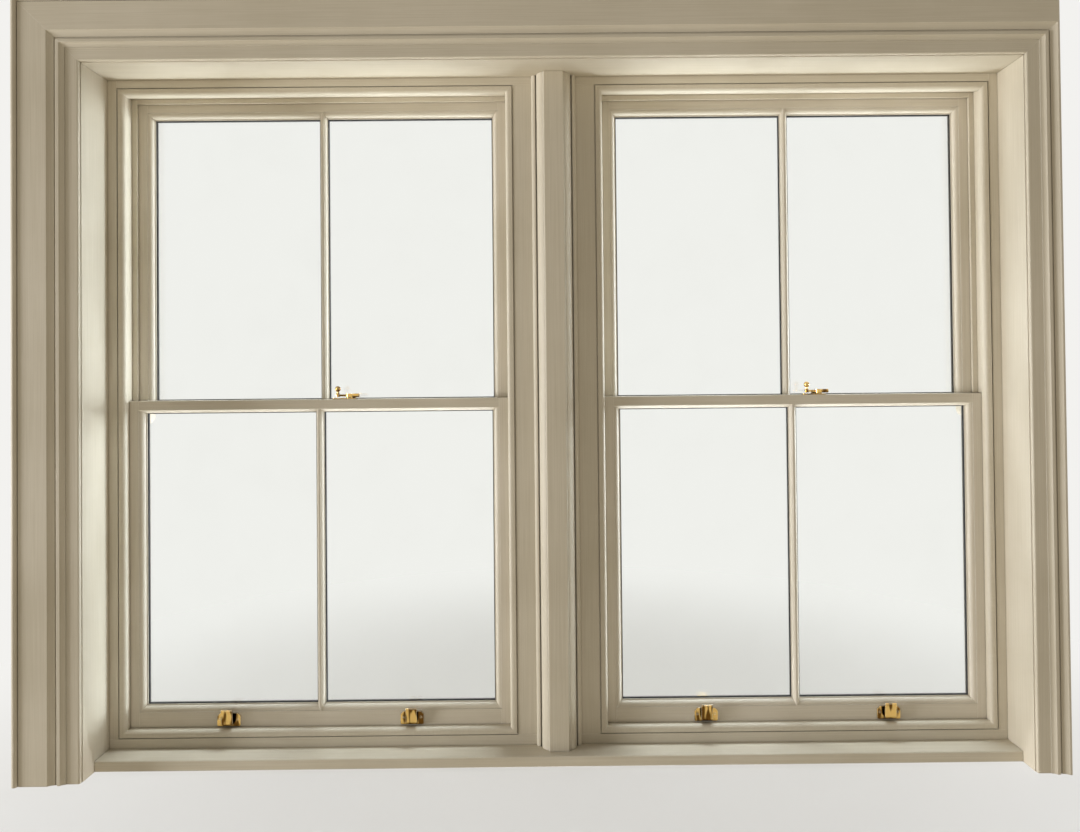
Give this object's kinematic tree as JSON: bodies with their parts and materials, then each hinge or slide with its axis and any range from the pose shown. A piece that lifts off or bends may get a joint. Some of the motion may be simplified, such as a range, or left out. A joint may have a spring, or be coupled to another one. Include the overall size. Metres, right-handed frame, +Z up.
{
  "type": "double-hung sash window",
  "caption": "Pair of double-hung box sash windows in one frame with a boxed mullion, glazing bars, reveal linings, window board and architrave.",
  "frame": {"origin": "middle of the mullion in plan at the room face of the box frame, on the underside", "axes": "+X right seen from the room, +Y outward to the weather, +Z up"},
  "size_m": [2.738, 0.322, 2.051],
  "materials": {
    "paint_frame": "satin paint",
    "paint_sash": "satin paint",
    "paint_lining": "satin paint",
    "paint_outer": "satin paint",
    "glass": "clear",
    "spacer": "matte",
    "brass": "polished"
  },
  "bodies": {
    "frame": {"sill": "paint_outer", "frame_head": "paint_frame", "inner_facing_mullion": "paint_frame", "inner_facing_head": "paint_frame", "outer_facings": "paint_outer", "back_boards": "paint_outer", "parting_beads": "paint_frame", "soffit_lining": "paint_lining", "window_board": "paint_lining", "mullion_cover": "paint_lining", "architrave_left": "paint_lining", "architrave_right": "paint_lining", "architrave_head": "paint_lining", "pulley_stile_outer_left": "paint_frame", "pulley_stile_mullion_left": "paint_frame", "inner_facing_left": "paint_frame", "staff_beads_left": "paint_frame", "reveal_lining_left": "paint_lining", "pulley_stile_outer_right": "paint_frame", "pulley_stile_mullion_right": "paint_frame", "inner_facing_right": "paint_frame", "staff_beads_right": "paint_frame", "reveal_lining_right": "paint_lining"},
    "lower_sash_left": {"lower_sash_left_stile_a": "paint_sash", "lower_sash_left_stile_b": "paint_sash", "lower_sash_left_bottom_rail": "paint_sash", "lower_sash_left_meeting_rail": "paint_sash", "lower_sash_left_glazing_bar": "paint_sash", "lower_sash_left_glass": "glass", "lower_sash_left_spacers": "spacer", "sash_lifts_left": "brass", "catch_base_left": "brass"},
    "upper_sash_left": {"upper_sash_left_stile_a": "paint_sash", "upper_sash_left_stile_b": "paint_sash", "upper_sash_left_top_rail": "paint_sash", "upper_sash_left_meeting_rail": "paint_sash", "upper_sash_left_glazing_bar": "paint_sash", "upper_sash_left_glass": "glass", "upper_sash_left_spacers": "spacer", "catch_keep_left": "brass"},
    "catch_left": {"catch_lever_left": "brass"},
    "lower_sash_right": {"lower_sash_right_stile_a": "paint_sash", "lower_sash_right_stile_b": "paint_sash", "lower_sash_right_bottom_rail": "paint_sash", "lower_sash_right_meeting_rail": "paint_sash", "lower_sash_right_glazing_bar": "paint_sash", "lower_sash_right_glass": "glass", "lower_sash_right_spacers": "spacer", "sash_lifts_right": "brass", "catch_base_right": "brass"},
    "upper_sash_right": {"upper_sash_right_stile_a": "paint_sash", "upper_sash_right_stile_b": "paint_sash", "upper_sash_right_top_rail": "paint_sash", "upper_sash_right_meeting_rail": "paint_sash", "upper_sash_right_glazing_bar": "paint_sash", "upper_sash_right_glass": "glass", "upper_sash_right_spacers": "spacer", "catch_keep_right": "brass"},
    "catch_right": {"catch_lever_right": "brass"}
  },
  "joints": [
    {"name": "lower_sash_left_slide", "type": "slide", "parent": "frame", "child": "lower_sash_left", "axis": [0, 0, 1], "range_m": [0, 0.7]},
    {"name": "upper_sash_left_slide", "type": "slide", "parent": "frame", "child": "upper_sash_left", "axis": [0, 0, 1], "range_m": [-0.7, 0]},
    {"name": "catch_left_turn", "type": "hinge", "parent": "lower_sash_left", "child": "catch_left", "pos_m": [-0.585, 0.046, 0.9915], "axis": [0, 0, 1], "range_deg": [0, 90]},
    {"name": "lower_sash_right_slide", "type": "slide", "parent": "frame", "child": "lower_sash_right", "axis": [0, 0, 1], "range_m": [0, 0.7]},
    {"name": "upper_sash_right_slide", "type": "slide", "parent": "frame", "child": "upper_sash_right", "axis": [0, 0, 1], "range_m": [-0.7, 0]},
    {"name": "catch_right_turn", "type": "hinge", "parent": "lower_sash_right", "child": "catch_right", "pos_m": [0.745, 0.046, 0.9915], "axis": [0, 0, 1], "range_deg": [0, 90]}
  ]
}
